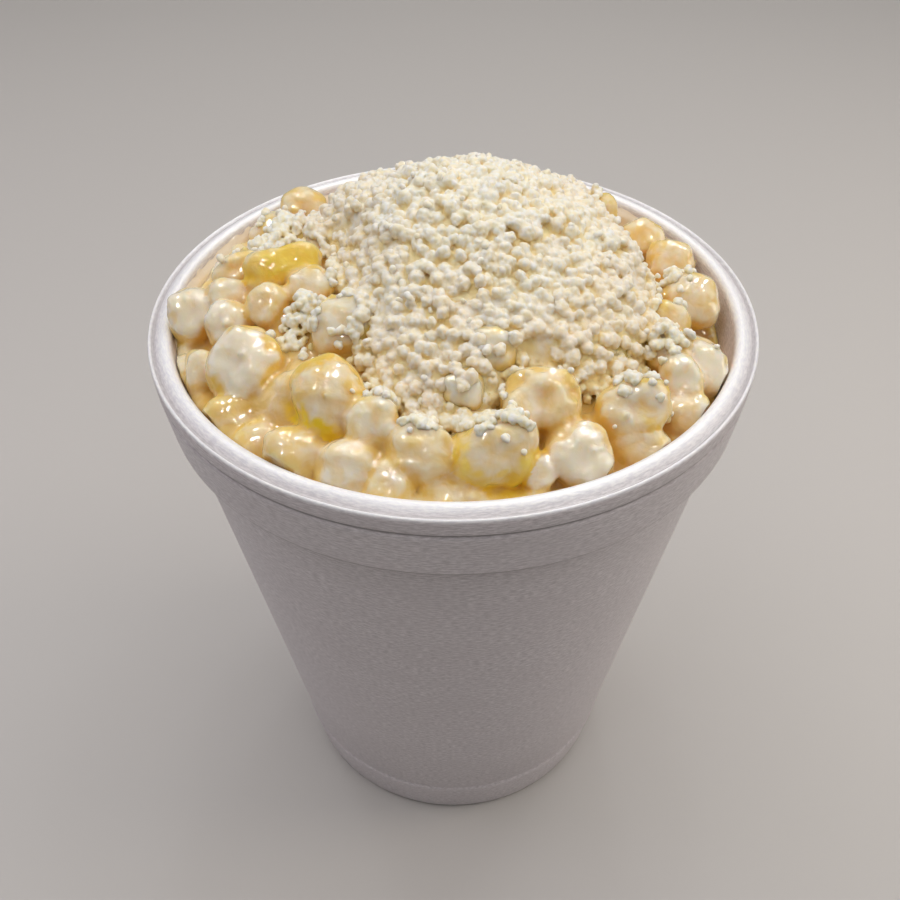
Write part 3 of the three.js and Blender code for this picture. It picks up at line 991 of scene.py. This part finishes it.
def mark_crumb_bed(corn, cheese):
    """Writes how thickly loose crumbs lie on the cheese and on the kernels beside it."""
    points, normals = points_of(cheese.data), normals_of(cheese.data)
    facing_up = smoothstep(normals[:, 2], -0.1, 0.4)
    write_mask(cheese.data, "crumbs", 0.12 * facing_up * smoothstep(points[:, 2] - LIP, -4, -3))
    points, normals = points_of(corn.data), normals_of(corn.data)
    facing_up = smoothstep(normals[:, 2], 0.1, 0.5)
    mound = HeightMap([cheese.data])
    covered = smoothstep(mound.top[mound.cells(points)] - points[:, 2], 0.3, 0.9)
    share = cheese_share(points[:, 0], points[:, 1]) + 0.002
    high = smoothstep(points[:, 2] - LIP, -8, -5)
    write_mask(corn.data, "crumbs", facing_up * share * (1 - covered) * high)


def crumb_bed(pieces):
    """Copies of the pieces that crumbs lie on, as one mesh with their crumbs numbers."""
    points, faces, thick, start = [], [], [], 0
    for piece in pieces:
        mesh = piece.data
        mesh.calc_loop_triangles()
        triangles = np.empty(len(mesh.loop_triangles) * 3, dtype=np.int32)
        mesh.loop_triangles.foreach_get("vertices", triangles)
        points.append(points_of(mesh))
        faces.append(triangles.reshape(-1, 3) + start)
        thick.append(read_mask(mesh, "crumbs"))
        start += len(mesh.vertices)
    bed = make_mesh("crumb_bed", np.vstack(points), np.vstack(faces))
    write_mask(bed.data, "crumbs", np.concatenate(thick))
    return bed


def lay_crumbs(tree, bed, name, shape, values):
    """One piece with all the crumbs of one kind. The values are the tree's inputs, by name."""
    crumb = make_mesh(name + "_one", *shape)
    holder = linked_object(name + "_bed", bed.data.copy())
    modifier = holder.modifiers.new("crumbs", "NODES")
    modifier.node_group = tree
    sockets = {item.name: item.identifier for item in tree.interface.items_tree if item.in_out == "INPUT"}
    for socket, value in {"Crumb": crumb, **values}.items():
        modifier[sockets[socket]] = value
    piece = baked_mesh(holder, name)
    throw_away(crumb)
    return piece


def make_crumbs(corn, cheese, finish):
    """Loose crumbs in three shapes on the cheese and the kernels, and fine ones between them."""
    mark_crumb_bed(corn, cheese)
    bed = crumb_bed([corn, cheese])
    tree = scatter_tree()
    per_square_metre = 1 / MM**2
    large = {"Spacing": 2.0 * MM, "Smallest": 0.75, "Largest": 1.2, "Lift": 0.2 * MM, "Seed": 1, "Kinds": 3}
    fine = {"Spacing": 1.2 * MM, "Smallest": 0.7, "Largest": 1.3, "Lift": 0.15 * MM, "Seed": 4, "Kinds": 1}
    pieces = []
    for name, shape, sizes, density, kind in (
        ("round_crumbs", crumb_shape(lobes=1, size=0.5, seed=31), large, 0.22, 1),
        ("twin_crumbs", crumb_shape(lobes=2, size=0.6, seed=32), large, 0.22, 2),
        ("triple_crumbs", crumb_shape(lobes=3, size=0.66, seed=33), large, 0.22, 3),
        ("fine_crumbs", crumb_shape(lobes=2, size=0.44, seed=34), fine, 0.1, 1),
    ):
        own = {"Finish": finish, "Crumbs per square metre": density * per_square_metre, "Kind": kind}
        pieces.append(lay_crumbs(tree, bed, name, shape, {**sizes, **own}))
    throw_away(bed)
    return pieces


def shade_heap(corn, cheese, crumbs):
    """Masks from how deep a point lies in the heap, for painted shade: hollow and crease. And on cheese:
    painted shade low on the mound, and dry.
    """
    heap = HeightMap([piece.data for piece in (corn, cheese, *crumbs)])
    near, around, broad = heap.softened(0.6), heap.softened(1.1), heap.softened(2.4)
    for piece in (cheese, *crumbs):
        mesh = piece.data
        points = points_of(mesh)
        # Painted shade on the cheese and crumbs: warm where a point lies deep among the grains, and on sides
        # that face down.
        close = smoothstep(heap.depth_below(points, near), 0.1, 0.7)
        wide = smoothstep(heap.depth_below(points, broad), 0.5, 2.5)
        side = 0.3 * smoothstep(-normals_of(mesh)[:, 2], -0.3, 0.3)
        hollow = np.maximum(np.maximum(close, wide), side)
        inside = inside_cheese(points[:, 0], points[:, 1])
        if piece is cheese:
            # Painted shade: the cheese darker and browner low on the mound, as if lit from above.
            low = 1 - (points[:, 2] - LIP - 4) / 11 + 0.2 * ripple(points, 5, 90)
            write_mask(mesh, "hollow", np.maximum(hollow, 0.35 * read_mask(mesh, "between")))
            write_mask(mesh, "soaked", low * smoothstep(inside, 0.5, 3) * 0.4)
            write_mask(mesh, "dry", 1 - smoothstep(inside, 0, 1.5))
        else:
            # Painted shade on the loose crumbs, faint.
            write_mask(mesh, "hollow", hollow * 0.15)
            write_mask(mesh, "soaked", 0)
            write_mask(mesh, "dry", 1)
    points = points_of(corn.data)
    # Painted shade on the corn: tan where it lies low in the heap.
    write_mask(corn.data, "hollow", smoothstep(heap.depth_below(points, broad), -0.2, 2.1))
    # Painted shade in the creases of the corn.
    write_mask(corn.data, "crease", smoothstep(heap.depth_below(points, around), 0.15, 1.1))


# ---- the materials ----


class Finish:
    """A material in the making. Colours and numbers are plain values or sockets."""

    def __init__(self, name):
        self.material = bpy.data.materials.new(name)
        self.material.use_nodes = True
        self.tree = self.material.node_tree
        self.shader = self.tree.nodes["Principled BSDF"]

    def put(self, kind, inputs=(), **settings):
        return add_node(self.tree, kind, inputs, **settings)

    def give(self, name, value):
        """Sets or links one of the shader's own sockets."""
        if isinstance(value, bpy.types.NodeSocket):
            self.tree.links.new(value, self.shader.inputs[name])
        else:
            self.shader.inputs[name].default_value = value

    def place(self):
        return self.put("ShaderNodeTexCoord").outputs["Object"]

    def mask(self, name):
        return self.put("ShaderNodeAttribute", attribute_name=name).outputs["Fac"]

    def mixed(self, mask, first, second):
        """A colour between two others."""
        first, second = [(*colour, 1) if isinstance(colour, tuple) else colour for colour in (first, second)]
        mix = self.put("ShaderNodeMix", {"Factor": mask, "A": first, "B": second}, data_type="RGBA")
        return mix.outputs["Result"]

    def ranged(self, value, low, high, least, most):
        """A number taken from one range to another."""
        ends = {"Value": value, "From Min": low, "From Max": high, "To Min": least, "To Max": most}
        return self.put("ShaderNodeMapRange", ends).outputs["Result"]

    def bump(self, height, strength, depth, under=None, **settings):
        """A bump of this depth in millimetres, on top of another one's normal."""
        inputs = {"Height": height, "Strength": strength, "Distance": depth * MM}
        if under is not None:
            inputs["Normal"] = under
        return self.put("ShaderNodeBump", inputs, **settings).outputs["Normal"]

    def grain(self, group, place, grains, mottles, strength, depth):
        """The grain group, laid at a place. Gives its mottle, its height and the bump's normal."""
        inputs = {"Place": place, "Grains per metre": grains, "Mottles per metre": mottles}
        grain = self.put("ShaderNodeGroup", inputs, node_tree=group)
        height = grain.outputs["Height"]
        return grain.outputs["Mottle"], height, self.bump(height, strength, depth)

    def light_sinks_in(self, share, radius, reach):
        """How much light goes under the skin, in which colours, and how far in millimetres."""
        self.give("Subsurface Weight", share)
        self.give("Subsurface Radius", radius)
        self.give("Subsurface Scale", reach * MM)


def foam_material(group):
    """Pressed foam beads: matt white, with fine pores drawn out round the cup, a painted highlight on the rim
    and painted shade in its lines.
    """
    made = Finish("pressed_foam")
    wrap = made.put("ShaderNodeUVMap", uv_map="wrap").outputs["UV"]
    drawn_out = made.put("ShaderNodeMapping", {"Vector": wrap, "Scale": (0.22, 1, 1)}).outputs["Vector"]
    mottle, height, grained = made.grain(group, drawn_out, 4200, 260, strength=0.6, depth=0.1)
    made.give("Normal", grained)
    tone = made.mixed(made.ranged(height, 0.38, 0.62, 0, 1), (0.56, 0.515, 0.535), (0.79, 0.74, 0.765))
    tone = made.mixed(made.ranged(mottle, 0.4, 0.66, 0, 0.3), tone, (0.61, 0.56, 0.58))
    # Painted highlight: where the lip mask is high the rim is lighter and bluer.
    painted_rim_highlight = made.mixed(made.ranged(height, 0.42, 0.6, 0, 1), (0.90, 0.895, 0.95), (1.0, 1.0, 1.0))
    tone = made.mixed(made.mask("lip"), tone, painted_rim_highlight)
    colour = made.mixed(made.ranged(height, 0.64, 0.74, 0, 0.6), tone, (0.93, 0.89, 0.91))
    # Painted shade: the line mask darkens the grooves, the band's foot and the wall under the band.
    made.give("Base Color", made.mixed(made.mask("line"), colour, (0.30, 0.27, 0.27)))
    made.give("Roughness", 0.36)
    made.light_sinks_in(0.12, (1.0, 0.85, 0.85), 1.2)
    return made.material


def corn_material(group, name, through):
    """Kernels under a wet film of cream that lies in blotches, with painted shade in their creases and
    hollows. Through is how much light sinks in.
    """
    made = Finish(name)
    pale, skin = (0.88, 0.66, 0.30), (0.88, 0.58, 0.10)
    thick, bare = (0.955, 0.865, 0.74), (0.98, 0.67, 0.04)
    painted_hollow_tan, painted_crease_amber = (0.71, 0.43, 0.11), (0.84, 0.54, 0.08)
    place, cream = made.place(), made.mask("cream")
    mottle, _, grained = made.grain(group, place, 1300, 420, strength=0.5, depth=0.06)
    uneven = {"Vector": place, "Scale": 480, "Detail": 2.5, "Distortion": 0.3}
    blotches = made.put("ShaderNodeTexNoise", uneven).outputs["Fac"]
    lying = made.put("ShaderNodeMath", {0: cream, 1: 0.5, 2: blotches}, operation="MULTIPLY_ADD")
    film = made.ranged(lying.outputs["Value"], 0.46, 0.86, 0, 1)
    raised = made.bump(film, 0.5, 0.22, grained)
    made.give("Normal", raised)
    ridges = {"Vector": place, "Scale": 980, "Detail": 3, "Distortion": 0.6}
    folds = made.put("ShaderNodeTexNoise", ridges, noise_type="RIDGED_MULTIFRACTAL").outputs["Fac"]
    made.give("Coat Normal", made.bump(folds, made.ranged(cream, 0, 0.6, 0.25, 0.5), 0.32, raised))
    colour = made.mixed(made.mask("corn"), pale, skin)
    # Painted shade: amber in the creases between the kernels.
    colour = made.mixed(made.ranged(made.mask("crease"), 0, 1, 0, 0.6), colour, painted_crease_amber)
    colour = made.mixed(made.ranged(film, 0, 1, 0, 0.85), colour, thick)
    # Painted shade: tan in the hollows, low in the heap.
    colour = made.mixed(made.ranged(made.mask("hollow"), 0, 1, 0, 0.85), colour, painted_hollow_tan)
    made.give("Base Color", made.mixed(made.mask("bright"), colour, bare))
    made.give("Roughness", made.ranged(mottle, 0.3, 0.7, 0.4, 0.6))
    made.light_sinks_in(through, (1.0, 0.8, 0.48), 2.2)
    made.give("Specular IOR Level", 0.05)
    made.give("Coat Weight", 1.0)
    made.give("Coat Roughness", 0.05)
    return made.material


def cheese_material(group, name, through, reach, lobe):
    """Fresh crumbled cheese: moist and nearly white, with a warm painted shade in the gaps between its grains
    and lobes.
    """
    made = Finish(name)
    white, cream, dry = (0.985, 0.925, 0.865), (0.98, 0.91, 0.82), (1.0, 0.945, 0.865)
    # Painted shade colours: deep in gaps and hollows, and a browner one low on the mound.
    deep, soaked = (0.95, 0.77, 0.42), (0.80, 0.68, 0.53)
    place = made.place()
    mottle, _, grained = made.grain(group, place, 2400, 220, strength=0.35, depth=0.12)
    lobes = made.put("ShaderNodeTexVoronoi", {"Vector": place, "Scale": 1150}).outputs["Distance"]
    colour = made.mixed(made.ranged(mottle, 0.4, 0.68, 0, 0.8), white, cream)
    colour = made.mixed(made.mask("dry"), colour, dry)
    # Painted shade: the warm deep colour in the gaps between the small lobes.
    colour = made.mixed(made.ranged(lobes, 0.4, 0.75, 0, 0.4), colour, deep)
    # Painted shade low on the mound.
    colour = made.mixed(made.mask("soaked"), colour, soaked)
    # Painted shade: the deep colour where the hollow mask is high.
    made.give("Base Color", made.mixed(made.mask("hollow"), colour, deep))
    made.give("Roughness", 0.5)
    made.give("Normal", made.bump(lobes, 0.7, lobe, grained, invert=True))
    made.light_sinks_in(through, (1.0, 0.91, 0.77), reach)
    made.give("Specular IOR Level", 0.15)
    return made.material


# ---- put together ----


def finished(piece, finish, node=None):
    """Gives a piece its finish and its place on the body."""
    piece.data.materials.clear()
    piece.data.materials.append(finish)
    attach(piece, "root")
    if node:
        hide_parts(node)


grain = grain_group()
foam_finish = foam_material(grain)
corn_finish = corn_material(grain, "creamed_corn", through=0.85)
film_finish = corn_material(grain, "film_of_cream", through=0.1)
cheese_finish = cheese_material(grain, "pressed_grains", through=0.88, reach=0.66, lobe=0.2)
loose_finish = cheese_material(grain, "loose_crumbs", through=0.6, reach=0.2, lobe=0.06)

named_kernels = shown_kernels()
shown = list(named_kernels.values())
kernels = shown + hidden_kernels(shown)
cup = make_cup()
corn = make_creamed_corn(kernels)
cheese = make_cheese(corn)
shade_corn(corn.data, kernels, named_kernels["lying_yellow"])
crumbs = make_crumbs(corn, cheese, loose_finish)
shade_heap(corn, cheese, crumbs)

finished(cup, foam_finish, "cup")
finished(corn, corn_finish, "corn")
finished(make_core(), corn_finish)
finished(make_wall_cream(), film_finish)
finished(cheese, cheese_finish, "cheese")
for piece in crumbs:
    finished(piece, loose_finish)


# ---- stage ----


def make_floor():
    size = 1500
    corners = [(-size, -size, 0), (size, -size, 0), (size, size, 0), (-size, size, 0)]
    floor = make_mesh("floor", corners, [(0, 1, 2, 3)])
    made = Finish("pale_floor")
    made.give("Base Color", (0.55, 0.525, 0.505, 1))
    made.give("Roughness", 0.7)
    floor.data.materials.append(made.material)
    return floor


def add_lamp(name, place, size, power, colour=(1, 1, 1), glints_only=False, mirrored=True):
    """A soft square lamp that faces the heap, at a place above the table.

    One for glints is seen only in wet surfaces, and one that isn't mirrored is never seen in them.
    """
    lamp = bpy.data.lights.new(name, "AREA")
    lamp.size = size * MM
    lamp.energy = power
    lamp.color = colour
    stand = linked_object(name, lamp)
    stand.location = np.array(place) * MM
    aim = (np.array((0, 0, LIP)) - place) * MM
    yaw = math.atan2(aim[1], aim[0])
    pitch = math.atan2(math.hypot(aim[0], aim[1]), -aim[2])
    stand.rotation_euler = (pitch, 0, yaw - math.pi / 2)
    stand.visible_diffuse = not glints_only
    stand.visible_glossy = mirrored


def add_camera():
    camera = bpy.data.cameras.new("camera")
    camera.sensor_width = 36
    camera.lens = 40
    camera.shift_x = -3.3 / 900
    camera.clip_start = 0.01
    stand = linked_object("camera", camera)
    stand.location = (0, -0.11164, 0.16336)
    stand.rotation_euler = (math.radians(90 - 42.68), 0, 0)
    bpy.context.scene.camera = stand


def add_studio():
    """Soft even light, and the plain colours of the render."""
    world = bpy.data.worlds.new("studio")
    world.use_nodes = True
    sky = world.node_tree.nodes["Background"].inputs
    sky["Color"].default_value = (1, 1, 1, 1)
    sky["Strength"].default_value = 0.1
    bpy.context.scene.world = world
    bpy.context.scene.view_settings.view_transform = "Standard"


make_floor()
add_studio()
add_lamp("softbox", (0, 45, 640), 1000, 3.9, (1, 0.98, 0.96), mirrored=False)
add_lamp("shine", (0, 48, 680), 1000, 0.8, (1, 0.98, 0.96))
for name, place, size, power in (
    ("glint_left", (-260, 260, 620), 60, 1.5),
    ("glint_right", (200, 100, 720), 60, 1.5),
    ("glint_front", (-120, -260, 640), 50, 1.0),
    ("glint_back", (80, 420, 560), 60, 1.5),
    ("glint_middle", (20, 160, 700), 50, 1.2),
    ("glint_far_right", (330, 260, 560), 60, 1.3),
):
    add_lamp(name, place, size, power, glints_only=True)
add_lamp("left", (-420, 60, 260), 200, 0.2, (0.93, 0.86, 1))
add_lamp("right", (420, 20, 240), 200, 0.5, (1, 0.9, 0.78))
add_camera()
